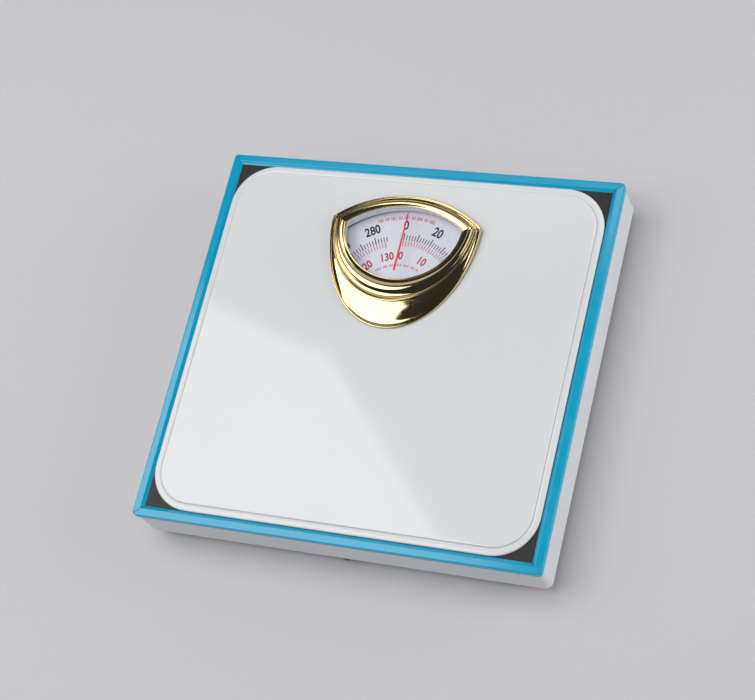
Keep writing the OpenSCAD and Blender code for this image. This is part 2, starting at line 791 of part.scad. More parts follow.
module rack() color(brass) difference() {
    union() {
        block([rack_back, -68, rack_z], [rack_root, rack_end, rack_z + rack_t]);
        translate([0, 0, rack_z]) linear_extrude(rack_t) for (i = [0:rack_teeth - 2])
            translate([-pitch_r, dial_y + (i - 2.5) * tooth_pitch]) rack_tooth();
        // Slotted end for the crank's pin
        block([rack_back, -78.6, rack_z - 1.6], [-3, -67, rack_z + 6.8]);
        // Ear for the return spring
        block([spring_line_x - 2, lug_y, rack_z], [rack_back + overlap, lug_y + 1.5, rack_z + rack_t]);
    }
    block([rack_back - 1, high_pin_y - roller_r - contact_gap, rack_z + 0.1],
        [-2, high_pin_y + roller_r + contact_gap, rack_z + 5.2]);
    translate([spring_line_x, lug_y + 3, rack_z + rack_t / 2]) rotate([90, 0, 0]) cylinder(r = 0.6, h = 6);
}

// The light spring that keeps the crank on the calibration plate
module rack_spring() color(steel) {
    first = guide_y + 1.9 + 3;
    last = lug_y - 3.4;
    translate([spring_line_x, 0, rack_z + rack_t / 2]) rotate([-90, 0, 0])
        tube(coil(rack_spring_r, rack_spring_turns, first, last, 9), rack_wire_r, 5);
}

// ---- Dial ----

module dial_disc() color([0.82, 0.82, 0.88]) difference() {
    translate([0, dial_y, dial_z - dial_t]) cylinder(r = dial_r, h = dial_t, $fn = 120);
    post(0, dial_y, dial_z - 2, shaft_r, 4);
}

module dial_hub() color(white) difference() {
    union() {
        post(0, dial_y, dial_z - dial_t - 2, 9, 2);
        post(0, dial_y, dial_z - dial_t - 2.4, 3, 1);
    }
    post(0, dial_y, dial_z - 6, shaft_r, 8);
}

module dial_shaft() color(steel) {
    post(0, dial_y, mid_plate_z - 2, shaft_r, dial_z + 0.2 - mid_plate_z + 2);
    post(0, dial_y, dial_z, 2.6, 0.25);
}

// Half the angle that a tooth fills at radius r, for an involute flank
function involute(a) = tan(a) * 180 / PI - a;
base_r = pitch_r * cos(pressure_angle);
half_tooth = (tooth_pitch / 2 - backlash) / pitch_r / 2 * 180 / PI;
function flank_angle(r) =
    half_tooth + involute(pressure_angle) - (r > base_r ? involute(acos(base_r / r)) : 0);

module pinion_tooth() {
    radii = [pitch_r - 1.25 * gear_module, base_r, 2.33, pitch_r, 2.5, 2.62, pitch_r + 0.8 * gear_module];
    left = [for (r = radii) let (a = flank_angle(r)) [r * cos(a), r * sin(a)]];
    right = [for (i = [len(radii) - 1:-1:0])
        let (a = -flank_angle(radii[i]))
        [radii[i] * cos(a), radii[i] * sin(a)]];
    polygon(concat([[1.6, 0.4]], left, right, [[1.6, -0.4]]));
}

module dial_pinion() color(brass) difference() {
    union() {
        translate([0, dial_y, rack_z - 0.4]) linear_extrude(rack_t + 0.8) {
            circle(pitch_r - 1.25 * gear_module);
            for (i = [0:pinion_teeth - 1]) rotate(i * 360 / pinion_teeth) pinion_tooth();
        }
        post(0, dial_y, mid_plate_z + tray_t + 1.1, 1.85, rack_z - mid_plate_z - tray_t - 1.3);
    }
    post(0, dial_y, mid_plate_z, shaft_r, 20);
}

base_tray();
foot_front_left();
foot_front_right();
foot_rear_left();
foot_rear_right();
fulcrum_post_front_left();
fulcrum_post_front_right();
fulcrum_post_rear_left();
fulcrum_post_rear_right();
spring_bracket();
crank_bracket();
crank_pin();
dial_bracket();
dial_bushes();
rack_guide();
base_rivets();
skirt();
trim_frame();
platform_pan();
tread_plate();
bezel();
bezel_clips();
lens();
window_shroud();
pointer();
hanger_front_left();
hanger_front_right();
hanger_rear_left();
hanger_rear_right();
hanger_rivets();
skirt_screws();
long_lever_left();
long_lever_right();
long_lever_pins();
lever_tie();
nose_pin();
lever_stirrups();
short_lever_left();
short_lever_left_pins();
short_lever_right();
short_lever_right_pins();
calibration_plate();
main_spring();
spring_carrier();
zero_screw();
thumbwheel();
crank();
crank_rollers();
rack();
rack_spring();
dial_disc();
dial_hub();
dial_shaft();
dial_pinion();
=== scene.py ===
"""Looks of the dial platform scale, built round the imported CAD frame.

Lengths are in millimetres until a mesh is made. Lights and the camera are placed in metres.
"""

import json
import math
import random

import bmesh
import bpy
from mathutils import Matrix, Vector


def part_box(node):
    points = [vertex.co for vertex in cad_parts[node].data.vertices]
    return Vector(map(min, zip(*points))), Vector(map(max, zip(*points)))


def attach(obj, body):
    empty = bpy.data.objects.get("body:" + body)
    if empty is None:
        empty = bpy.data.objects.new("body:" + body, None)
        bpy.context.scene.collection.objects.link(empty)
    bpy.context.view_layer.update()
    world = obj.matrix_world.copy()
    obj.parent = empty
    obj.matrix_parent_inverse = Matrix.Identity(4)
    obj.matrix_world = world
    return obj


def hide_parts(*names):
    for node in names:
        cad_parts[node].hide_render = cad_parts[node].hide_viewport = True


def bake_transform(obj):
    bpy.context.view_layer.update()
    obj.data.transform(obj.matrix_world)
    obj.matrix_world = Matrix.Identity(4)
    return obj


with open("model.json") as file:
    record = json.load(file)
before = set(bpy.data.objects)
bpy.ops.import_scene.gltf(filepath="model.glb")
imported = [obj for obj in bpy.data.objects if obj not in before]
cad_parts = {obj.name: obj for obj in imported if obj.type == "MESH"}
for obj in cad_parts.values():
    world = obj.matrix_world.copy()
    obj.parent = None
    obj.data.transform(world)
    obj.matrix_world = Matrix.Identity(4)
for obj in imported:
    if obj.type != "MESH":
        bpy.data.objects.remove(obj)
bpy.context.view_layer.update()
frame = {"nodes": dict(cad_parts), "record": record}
random.seed(7)

MM = 0.001
SCENE = bpy.context.scene
SLOT_OF = {s["node"]: s["material_slot"] for s in frame["record"]["subparts"]}
BODY_OF = {n: b for b, ns in frame["record"]["behaviour"]["bodies"].items() for n in ns}


def corners(node):
    """Lowest and highest corner of a CAD node, in millimetres."""
    low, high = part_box(node)
    return low / MM, high / MM


# ---- Sizes, read from the frame where it gives them ----

HALF_W, HALF_D = corners("skirt")[1].xy
TREAD_HIGH = corners("tread_plate")[1]
TRIM_HIGH = corners("trim_frame")[1]
LENS_LOW = corners("lens")[0]
DIAL_LOW, DIAL_HIGH = corners("dial_disc")

CORNER_R = 5.0
TRIM_R = 3.0
TREAD_R = 29.0
# Width from the middle to a tip, the tips' y, the nearest y and the farthest y
BEZEL_OUTLINE = (52.5, 89.5, 14.3, 108.7)
WINDOW_OUTLINE = (40.5, 86.0, 47.6, 99.8)
WINDOW_TIP_STEP = 1.75
DIAL_CENTRE = ((DIAL_LOW.x + DIAL_HIGH.x) / 2, (DIAL_LOW.y + DIAL_HIGH.y) / 2)
# Degrees that the printed zero stands to the left of the pointer
DIAL_REST = 3.2
# How far the main spring's coils start below their seat, which the carrier moves
CARRIER_PLAY = 0.4


# ---- Node materials ----


class Paint:
    """A node material under construction, with short calls for its nodes."""

    def __init__(self, name):
        self.material = bpy.data.materials.new(name)
        self.material.use_nodes = True
        self.nodes = self.material.node_tree.nodes
        self.links = self.material.node_tree.links
        self.shader = self.nodes["Principled BSDF"]
        self.place = self.nodes.new("ShaderNodeTexCoord").outputs["Object"]

    def set(self, **values):
        for name, value in values.items():
            self.shader.inputs[name.replace("_", " ")].default_value = value
        return self

    def node(self, kind, **settings):
        made = self.nodes.new(kind)
        for name, value in settings.items():
            setattr(made, name, value)
        return made

    def join(self, source, node, socket):
        self.links.new(source, node.inputs[socket])

    def stretched(self, scale):
        mapping = self.node("ShaderNodeMapping")
        mapping.inputs["Scale"].default_value = scale
        self.join(self.place, mapping, "Vector")
        return mapping.outputs["Vector"]

    def noise(self, scale, detail=3.0, roughness=0.5, place=None):
        made = self.node("ShaderNodeTexNoise")
        made.inputs["Scale"].default_value = scale
        made.inputs["Detail"].default_value = detail
        made.inputs["Roughness"].default_value = roughness
        self.join(place or self.place, made, "Vector")
        return made.outputs["Fac"]

    def cells(self, scale, feature="F1"):
        made = self.node("ShaderNodeTexVoronoi", feature=feature)
        made.inputs["Scale"].default_value = scale
        self.join(self.place, made, "Vector")
        return made.outputs["Distance"]

    def ramp(self, source, low, high, start=0.35, end=0.65):
        """A colour from low to high as the source goes from start to end."""
        made = self.node("ShaderNodeValToRGB")
        made.color_ramp.elements[0].position = start
        made.color_ramp.elements[0].color = (*low, 1)
        made.color_ramp.elements[1].position = end
        made.color_ramp.elements[1].color = (*high, 1)
        self.join(source, made, "Fac")
        return made.outputs["Color"]

    def span(self, source, low, high, start=0.3, end=0.7):
        """A number from low to high as the source goes from start to end."""
        made = self.node("ShaderNodeMapRange")
        for name, value in (("From Min", start), ("From Max", end), ("To Min", low), ("To Max", high)):
            made.inputs[name].default_value = value
        self.join(source, made, "Value")
        return made.outputs["Result"]

    def blend(self, factor, a, b, kind="MIX"):
        made = self.node("ShaderNodeMix", data_type="RGBA", blend_type=kind)
        for name, value in (("Factor", factor), ("A", a), ("B", b)):
            socket = [s for s in made.inputs if s.name == name and s.enabled][0]
            if isinstance(value, bpy.types.NodeSocket):
                self.links.new(value, socket)
            else:
                socket.default_value = value
        return [s for s in made.outputs if s.enabled][0]

    def bump(self, height, strength, distance, below=None):
        made = self.node("ShaderNodeBump")
        made.inputs["Strength"].default_value = strength
        made.inputs["Distance"].default_value = distance * MM
        self.join(height, made, "Height")
        if below is not None:
            self.join(below, made, "Normal")
        return made.outputs["Normal"]

    def edges(self):
        """Where the surface is convex: 0.5 on flats, more along outer edges."""
        return self.node("ShaderNodeNewGeometry").outputs["Pointiness"]

    def feed(self, socket, source):
        self.join(source, self.shader, socket)
        return self


def moulded(name, colour, shade, roughness, grain, depth, specular=0.5):
    """A moulded plastic: faint cloudiness, a fine spark texture and a little wear on its edges."""
    p = Paint(name).set(Specular_IOR_Level=specular)
    cloud = p.ramp(p.noise(18, 4), shade, colour)
    worn = p.ramp(p.edges(), (0, 0, 0), (1, 1, 1), 0.52, 0.60)
    pale = tuple(min(1.0, c * 1.12 + 0.02) for c in colour)
    p.feed("Base Color", p.blend(p.blend(0.35, (0, 0, 0, 1), worn), cloud, (*pale, 1)))
    p.feed("Roughness", p.span(p.noise(60, 5), roughness - 0.04, roughness + 0.06))
    p.feed("Normal", p.bump(p.noise(grain, 6, 0.65), depth, 0.06))
    return p.material


def plated(name, colour, shade, roughness, streak, depth, metallic=1.0):
    """Sheet or turned metal: drawn streaks along one direction, small stains, brighter edges."""
    p = Paint(name).set(Metallic=metallic)
    drawn = p.noise(420, 5, 0.6, p.stretched(streak))
    stains = p.noise(35, 6, 0.6)
    bright = p.ramp(p.edges(), (0, 0, 0), (1, 1, 1), 0.51, 0.58)
    body = p.blend(0.35, p.ramp(stains, shade, colour), p.ramp(drawn, shade, colour), "MIX")
    pale = tuple(min(1.0, c * 1.15 + 0.03) for c in colour)
    p.feed("Base Color", p.blend(bright, body, (*pale, 1)))
    p.feed("Roughness", p.span(stains, roughness - 0.06, roughness + 0.10))
    p.feed("Normal", p.bump(drawn, depth, 0.04))
    return p.material


def painted(name, colour, shade, roughness, peel, depth, coat=0.3):
    """Painted metal: orange peel, faint colour variation, paint worn thin on sharp edges."""
    p = Paint(name).set(Coat_Weight=coat, Coat_Roughness=0.12, Specular_IOR_Level=0.45)
    cloud = p.ramp(p.noise(14, 5), shade, colour)
    dust = p.ramp(p.noise(900, 2), (0.94, 0.94, 0.94), (1, 1, 1), 0.3, 0.6)
    p.feed("Base Color", p.blend(1.0, cloud, dust, "MULTIPLY"))
    p.feed("Roughness", p.span(p.noise(50, 5), roughness - 0.05, roughness + 0.07))
    p.feed("Normal", p.bump(p.noise(peel, 3, 0.5), depth, 0.05))
    return p.material


def tread_paint():
    """Glossy white enamel with very fine orange peel."""
    p = Paint("white_tread").set(Specular_IOR_Level=0.62)
    cloud = p.ramp(p.noise(6, 4), (0.800, 0.822, 0.824), (0.824, 0.843, 0.845))
    specks = p.ramp(p.noise(1500, 2), (0.975, 0.975, 0.975), (1, 1, 1), 0.30, 0.55)
    p.feed("Base Color", p.blend(1.0, cloud, specks, "MULTIPLY"))
    p.feed("Roughness", p.span(p.noise(24, 5), 0.060, 0.085))
    fine = p.bump(p.noise(1600, 3, 0.6), 0.10, 0.010)
    p.feed("Normal", p.bump(p.noise(160, 2, 0.5), 0.05, 0.02, fine))
    return p.material


def trim_plastic():
    """Satin cyan moulding with a hairline joint across each mitred corner."""
    p = Paint("blue_trim").set(Specular_IOR_Level=0.80)
    cloud = p.ramp(p.noise(18, 4), (0.001, 0.375, 0.610), (0.001, 0.400, 0.640))
    size = p.node("ShaderNodeVectorMath", operation="ABSOLUTE")
    p.join(p.place, size, 0)
    # Zero along the mitres, where both sides are equally far from the outline
    mirrored = p.node("ShaderNodeVectorMath", operation="DOT_PRODUCT")
    mirrored.inputs[1].default_value = (1, -1, 0)
    p.join(size.outputs["Vector"], mirrored, 0)
    off = p.node("ShaderNodeMath", operation="SUBTRACT")
    off.inputs[1].default_value = (HALF_W - HALF_D) * MM
    p.join(mirrored.outputs["Value"], off, 0)
    apart = p.node("ShaderNodeMath", operation="ABSOLUTE")
    p.join(off.outputs["Value"], apart, 0)
    joint = p.span(apart.outputs["Value"], 0, 1, 0.15 * MM, 0.5 * MM)
    shade = p.ramp(joint, (0.45, 0.45, 0.45), (1, 1, 1), 0, 1)
    p.feed("Base Color", p.blend(1.0, cloud, shade, "MULTIPLY"))
    p.feed("Roughness", p.span(p.noise(60, 5), 0.10, 0.20))
    p.feed("Normal", p.bump(joint, 0.6, 0.15, p.bump(p.noise(1100, 6, 0.65), 0.04, 0.06)))
    return p.material


def pan_paint():
    """Charcoal paint with a fine even grain."""
    p = Paint("dark_pan").set(Specular_IOR_Level=0.35)
    grain = p.noise(1500, 5, 0.8)
    p.feed("Base Color", p.ramp(grain, (0.004, 0.0038, 0.004), (0.062, 0.058, 0.056), 0.38, 0.64))
    p.feed("Roughness", p.span(grain, 0.36, 0.52))
    p.feed("Normal", p.bump(grain, 0.5, 0.12))
    return p.material


def gold_plate():
    """Vacuum-plated gold: mirror-like, with slight waviness and a warmer tone where it is thin."""
    p = Paint("gold_chrome").set(Metallic=1.0)
    tone = p.ramp(p.noise(22, 4), (0.830, 0.655, 0.335), (0.895, 0.745, 0.430))
    p.feed("Base Color", tone)
    p.feed("Roughness", p.span(p.noise(300, 5, 0.6), 0.055, 0.11))
    wavy = p.bump(p.noise(45, 2, 0.5), 0.06, 0.10)
    p.feed("Normal", p.bump(p.noise(1400, 3, 0.6), 0.05, 0.01, wavy))
    return p.material


def clear_plastic():
    """A clear lens: it lets light through, and shows only its gloss and a faint haze."""
    p = Paint("clear_lens")
    out = p.nodes["Material Output"]
    p.nodes.remove(p.shader)
    clear = p.node("ShaderNodeBsdfTransparent")
    clear.inputs["Color"].default_value = (0.985, 0.99, 0.995, 1)
    gloss = p.node("ShaderNodeBsdfGlossy")
    gloss.inputs["Color"].default_value = (1, 1, 1, 1)
    p.join(p.span(p.noise(120, 4), 0.03, 0.07), gloss, "Roughness")
    haze = p.node("ShaderNodeBsdfDiffuse")
    haze.inputs["Color"].default_value = (0.9, 0.92, 0.95, 1)
    edge = p.node("ShaderNodeFresnel")
    edge.inputs["IOR"].default_value = 1.3
    mix = p.node("ShaderNodeMixShader")
    # Only the outer faces shine, because light goes straight through without bending
    inside = p.node("ShaderNodeNewGeometry").outputs["Backfacing"]
    shine = p.node("ShaderNodeMath", operation="MULTIPLY")
    p.join(edge.outputs["Fac"], shine, 0)
    p.join(p.span(inside, 1, 0, 0, 1), shine, 1)
    p.join(shine.outputs["Value"], mix, "Fac")
    p.links.new(clear.outputs["BSDF"], mix.inputs[1])
    p.links.new(gloss.outputs["BSDF"], mix.inputs[2])
    dusty = p.node("ShaderNodeMixShader")
    p.join(p.span(p.noise(700, 3), 0.0, 0.05, 0.45, 0.75), dusty, "Fac")
    p.links.new(mix.outputs["Shader"], dusty.inputs[1])
    p.links.new(haze.outputs["BSDF"], dusty.inputs[2])
    p.links.new(dusty.outputs["Shader"], out.inputs["Surface"])
    return p.material


def dial_paint():
    """Printed aluminium: pale lavender grey with a very fine printed grain."""
    p = Paint("dial_face").set(Specular_IOR_Level=0.4)
    cloud = p.ramp(p.noise(30, 4), (0.835, 0.842, 0.905), (0.880, 0.888, 0.945))
    dots = p.ramp(p.noise(3200, 2), (0.95, 0.95, 0.965), (1, 1, 1), 0.35, 0.6)
    p.feed("Base Color", p.blend(1.0, cloud, dots, "MULTIPLY"))
    p.feed("Roughness", p.span(p.noise(80, 4), 0.42, 0.52))
    p.feed("Normal", p.bump(p.noise(2200, 3), 0.10, 0.02))
    return p.material


def ink(name, colour, shade):
    """Screen-printed ink: uneven in density at a very small scale."""
    p = Paint(name).set(Specular_IOR_Level=0.3)
    p.feed("Base Color", p.ramp(p.noise(1800, 3), shade, colour))
    p.feed("Roughness", p.span(p.noise(500, 3), 0.45, 0.6))
    return p.material


def rubber_skin():
    p = Paint("rubber").set(Specular_IOR_Level=0.3)
    p.feed("Base Color", p.ramp(p.noise(90, 5), (0.018, 0.018, 0.020), (0.050, 0.049, 0.050)))
    p.feed("Roughness", p.span(p.noise(300, 4), 0.68, 0.85))
    p.feed("Normal", p.bump(p.cells(900), 0.30, 0.08))
    return p.material


def floor_paint():
    """Plain pale backdrop paper of one tone, with faint fibres."""
    p = Paint("studio_floor").set(Specular_IOR_Level=0.12)
    p.feed("Base Color", p.ramp(p.noise(700, 3), (0.670, 0.662, 0.675), (0.680, 0.672, 0.685)))
    p.feed("Roughness", p.span(p.noise(40, 3), 0.72, 0.8))
    return p.material


LONGWAYS = (0.06, 1, 1)
MATERIALS = {
    "tray": painted("tray", (0.70, 0.71, 0.72), (0.62, 0.63, 0.65), 0.38, 500, 0.25),
    "bracket": plated("bracket", (0.60, 0.61, 0.62), (0.44, 0.45, 0.47), 0.36, LONGWAYS, 0.25),
    "zinc_steel": plated("zinc_steel", (0.70, 0.71, 0.72), (0.56, 0.57, 0.60), 0.30, LONGWAYS, 0.20),
    "lever_steel": plated(
        "lever_steel", (0.10, 0.105, 0.115), (0.055, 0.06, 0.07), 0.42, LONGWAYS, 0.30, metallic=0.85
    ),
    "bright_steel": plated("bright_steel", (0.80, 0.80, 0.81), (0.66, 0.66, 0.68), 0.20, (1, 1, 0.1), 0.15),
    "spring_steel": plated("spring_steel", (0.56, 0.57, 0.60), (0.38, 0.39, 0.42), 0.26, (1, 1, 1), 0.15),
    "brass": plated("brass", (0.80, 0.58, 0.24), (0.62, 0.43, 0.16), 0.27, (1, 0.08, 1), 0.20),
    "rubber": rubber_skin(),
    "white_plastic": moulded("white_plastic", (0.70, 0.725, 0.755), (0.665, 0.69, 0.725), 0.34, 900, 0.16),
    "white_tread": tread_paint(),
    "blue_trim": trim_plastic(),
    "dark_pan": pan_paint(),
    "gold_chrome": gold_plate(),
    "clear_lens": clear_plastic(),
    "red_pointer": moulded("red_pointer", (0.86, 0.020, 0.050), (0.78, 0.015, 0.040), 0.35, 1500, 0.10),
    "wheel_plastic": moulded("wheel_plastic", (0.055, 0.065, 0.085), (0.040, 0.048, 0.064), 0.45, 1200, 0.30),
    "hub_plastic": moulded("hub_plastic", (0.72, 0.72, 0.70), (0.66, 0.66, 0.645), 0.38, 900, 0.15),
    "dial_face": dial_paint(),
}


# ---- Mesh helpers ----


def make(name, points, faces, slot, body, replaces=(), sharp=32.0, material=None):
    """A smooth-shaded piece from points in millimetres, crisp at edges over the sharp angle."""
    mesh = bpy.data.meshes.new(name)
    mesh.from_pydata([Vector(p) * MM for p in points], [], faces)
    mesh.validate()
    return finish_mesh(name, mesh, slot, body, replaces, sharp, material)


def finish_mesh(name, mesh, slot, body, replaces=(), sharp=32.0, material=None):
    b = bmesh.new()
    b.from_mesh(mesh)
    bmesh.ops.recalc_face_normals(b, faces=b.faces)
    b.to_mesh(mesh)
    b.free()
    mesh.polygons.foreach_set("use_smooth", [True] * len(mesh.polygons))
    mesh.set_sharp_from_angle(angle=math.radians(sharp))
    mesh.materials.clear()
    mesh.materials.append(material or MATERIALS[slot])
    piece = bpy.data.objects.new(name, mesh)
    SCENE.collection.objects.link(piece)
    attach(piece, body)
    if replaces:
        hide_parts(*replaces)
    return piece


def ring(half_w, half_d, radius, inset, z, steps=10):
    """A rounded rectangle inset from its outline, counterclockwise from the near right corner."""
    w, d = half_w - inset, half_d - inset
    r = max(radius - inset, 0.02)
    points = []
    for k, (sx, sy) in enumerate(((1, -1), (1, 1), (-1, 1), (-1, -1))):
        for i in range(steps + 1):
            a = math.radians(-90 + 90 * k + 90 * i / steps)
            points.append((sx * (w - r) + r * math.cos(a), sy * (d - r) + r * math.sin(a), z))
    return points


def loft(rings, closed=True):
    """Points and quads through rings of equal length; a closed loft also joins the last ring to the first."""
    n = len(rings[0])
    points = [p for r in rings for p in r]
    faces = []
    for k in range(len(rings) if closed else len(rings) - 1):
        a, b = k * n, (k + 1) % len(rings) * n
        faces += [(a + i, a + (i + 1) % n, b + (i + 1) % n, b + i) for i in range(n)]
    return points, faces


def shield(tip, tip_y, low_y, top_y, z, z_tip=None, z_top=None, steps=48):
    """The window's outline: half an ellipse below the two tips and a circular arc above them.
    z is the height at the middle of the near side, z_tip at the tips and z_top at the far side."""
    z_tip = z if z_tip is None else z_tip
    z_top = z_tip if z_top is None else z_top
    points = []
    for i in range(steps):
        a = math.pi * i / steps
        s = math.sin(a)
        points.append((tip * math.cos(a), tip_y - (tip_y - low_y) * s, z_tip + (z - z_tip) * s))
    rise = top_y - tip_y
    radius = (tip * tip + rise * rise) / (2 * rise)
    spread = math.asin(tip / radius)
    for i in range(steps):
        t = i / steps
        a = -spread + 2 * spread * t
        x, y = radius * math.sin(a), top_y - radius + radius * math.cos(a)
        points.append((x, y, z_tip + (z_top - z_tip) * math.sqrt(math.sin(math.pi * t))))
    return points


def window(grow, z):
    tip, tip_y, low_y, top_y = WINDOW_OUTLINE
    return shield(tip + WINDOW_TIP_STEP * grow, tip_y, low_y - grow, top_y + grow, z)


def filled(mesh, loops):
    """Fills the flat area between closed loops of points already in the mesh."""
    b = bmesh.new()
    b.from_mesh(mesh)
    b.verts.ensure_lookup_table()
    edges = []
    for loop in loops:
        for i, v in enumerate(loop):
            pair = (b.verts[v], b.verts[loop[(i + 1) % len(loop)]])
            edges.append(b.edges.get(pair) or b.edges.new(pair))
    bmesh.ops.triangle_fill(b, use_beauty=True, use_dissolve=False, edges=edges)
    b.to_mesh(mesh)
    b.free()


def lathe(profile, centre, sides=48):
    """A turned shape from (radius, height) pairs, closed at its axis."""
    turns = [2 * math.pi * i / sides for i in range(sides)]
    rings = []
    for radius, z in profile:
        r = max(radius, 0.001)
        rings.append([(centre[0] + r * math.cos(t), centre[1] + r * math.sin(t), z) for t in turns])
    return loft(rings, closed=False)


# ---- Platform: skirt, trim, tread and bezel ----


def build_trim():
    """The cyan frame: a leg outside the skirt's neck, a flat top and an inner bevel."""
    crest = 43.0
    bevel_start = 5.0
    profile = [
        (0, 38.5), (0, 41.85), (0.06, 42.15), (0.22, 42.42), (0.5, 42.58), (0.9, 42.68),
        (2.2, 42.79), (3.6, 42.92), (4.6, crest), (4.95, crest), (5.15, 42.95), (5.32, 42.82),
        (6.55, 41.90), (6.8, 41.76), (7.05, 41.66), (7.2, 41.5), (1.6, 41.5), (1.6, 38.5),
    ]
    rings = []
    for inset, height in profile:
        radius = TRIM_R if inset < bevel_start else 0.0
        z = height + TRIM_HIGH.z - crest
        rings.append(ring(HALF_W, HALF_D, radius, inset, z, steps=8))
    points, faces = loft(rings)
    return make("trim_frame_smooth", points, faces, "blue_trim", "platform", ["trim_frame"], sharp=40)


def build_skirt():
    """The white side wall, its lip, and its ledge with a notch over the zero screw."""
    wall = [
        (3.0, 41.45), (1.75, 41.45), (1.75, 38.62), (1.55, 38.47), (0.55, 38.44), (0.42, 38.3), (0.4, 38.1),
        (0.4, 15.3), (0.32, 14.95), (0.12, 14.6), (0.0, 14.35), (0.0, 13.0), (0.12, 12.68), (0.45, 12.5),
        (1.9, 12.5), (2.35, 12.65), (2.6, 13.0), (2.6, 38.2), (3.0, 38.8), (3.4, 39.1),
        (13.0, 39.1), (13.0, 40.3), (3.4, 40.3),
    ]
    notch = 22.0
    outside = notch + 0.01
    shallow = 3.45
    rings = []
    for inset, height in wall:
        points = ring(HALF_W, HALF_D, CORNER_R, inset, height)
        near = min(p[1] for p in points)
        for x in (-outside, -notch, notch, outside):
            deep = abs(x) == notch and inset > shallow
            points.append((x, -(HALF_D - shallow) if deep else near, height))
        rings.append(points)
    points, faces = loft(rings)
    return make("skirt_smooth", points, faces, "white_plastic", "platform", ["skirt"], sharp=38)


def build_tread():
    """The white tread: a border band, a groove, a raised panel and the recess and hole for the bezel."""
    panel, seat_floor, underside = 44.2, 43.6, 41.5
    half_w, half_d = TREAD_HIGH.x, TREAD_HIGH.y
    profile = [
        (0, underside), (0, 42.55), (0.12, 42.80), (0.35, 43.02), (0.8, 43.17), (1.6, 43.28),
        (2.6, 43.31), (3.5, 43.24),
        (4.1, 43.12), (4.3, 43.05), (4.38, 42.80), (4.46, 42.50), (4.70, 42.45), (4.78, 42.70), (4.85, 43.30),
        (4.92, 43.85), (5.0, 44.02), (5.22, 44.13), (5.6, 44.18), (6.2, panel),
    ]
    rings = [ring(half_w, half_d, TREAD_R, d, z, steps=24) for d, z in profile]
    points, faces = loft(rings, closed=False)
    n = len(rings[0])
    rim = list(range((len(rings) - 1) * n, len(rings) * n))
    base = list(range(n))
    tip, tip_y, low_y, top_y = BEZEL_OUTLINE
    play = 0.12
    seat = (tip + play, tip_y, low_y - play, top_y + play)
    grow = 3.0
    hole = [shield(*seat, z) for z in (panel, seat_floor)] + [window(grow, z) for z in (seat_floor, underside)]
    hole_points, hole_faces = loft(hole, closed=False)
    start = len(points)
    m = len(hole[0])
    points += hole_points
    faces += [tuple(i + start for i in f) for f in hole_faces]
    mesh = bpy.data.meshes.new("tread_plate_smooth")
    mesh.from_pydata([Vector(p) * MM for p in points], [], faces)
    filled(mesh, [rim, [start + i for i in range(m)]])
    filled(mesh, [base, [start + 3 * m + i for i in range(m)]])
    return finish_mesh("tread_plate_smooth", mesh, "white_tread", "platform", ["tread_plate"], sharp=50)


